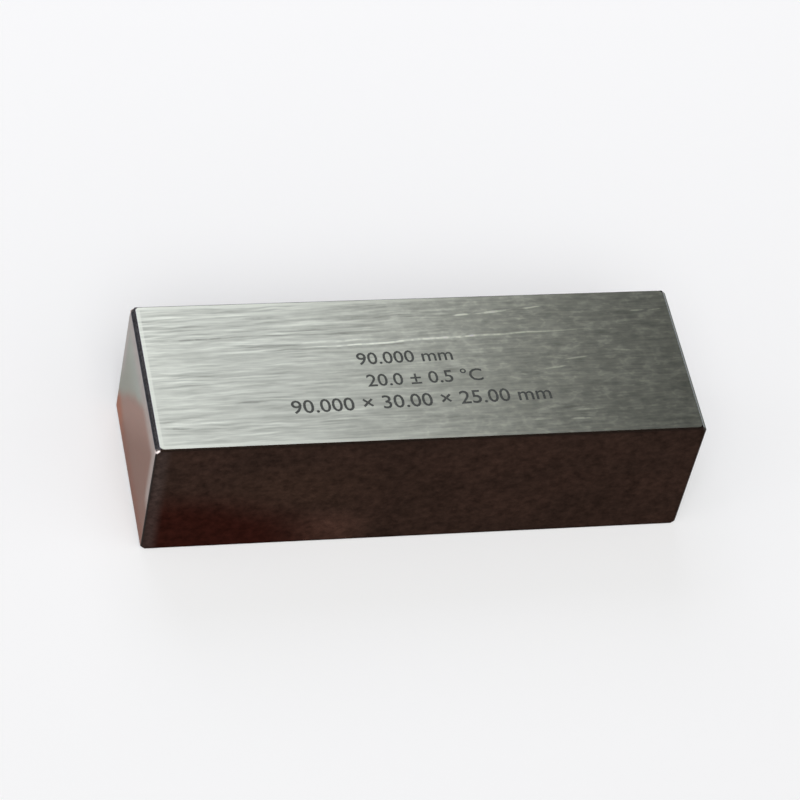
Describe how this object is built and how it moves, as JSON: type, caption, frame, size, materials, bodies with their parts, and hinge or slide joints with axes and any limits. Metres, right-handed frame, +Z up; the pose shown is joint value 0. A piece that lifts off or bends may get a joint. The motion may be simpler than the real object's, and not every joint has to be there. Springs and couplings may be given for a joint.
{
  "type": "gauge block",
  "caption": "Rectangular hardened steel block used as a length standard, with lapped ends and sides, a ground marked face and base, and chamfered edges and corners.",
  "frame": {"origin": "middle of the base, on the plane it stands on", "axes": "+X along the nominal length, -Y out of the front side face, +Z up, out of the marked face"},
  "size_m": [0.09, 0.03, 0.025],
  "materials": {
    "hardened_steel": "satin ground marked face and base with grinding lines along the length, smooth lapped ends and sides"
  },
  "bodies": {
    "root": {"gauge_block": "hardened_steel"}
  },
  "joints": []
}
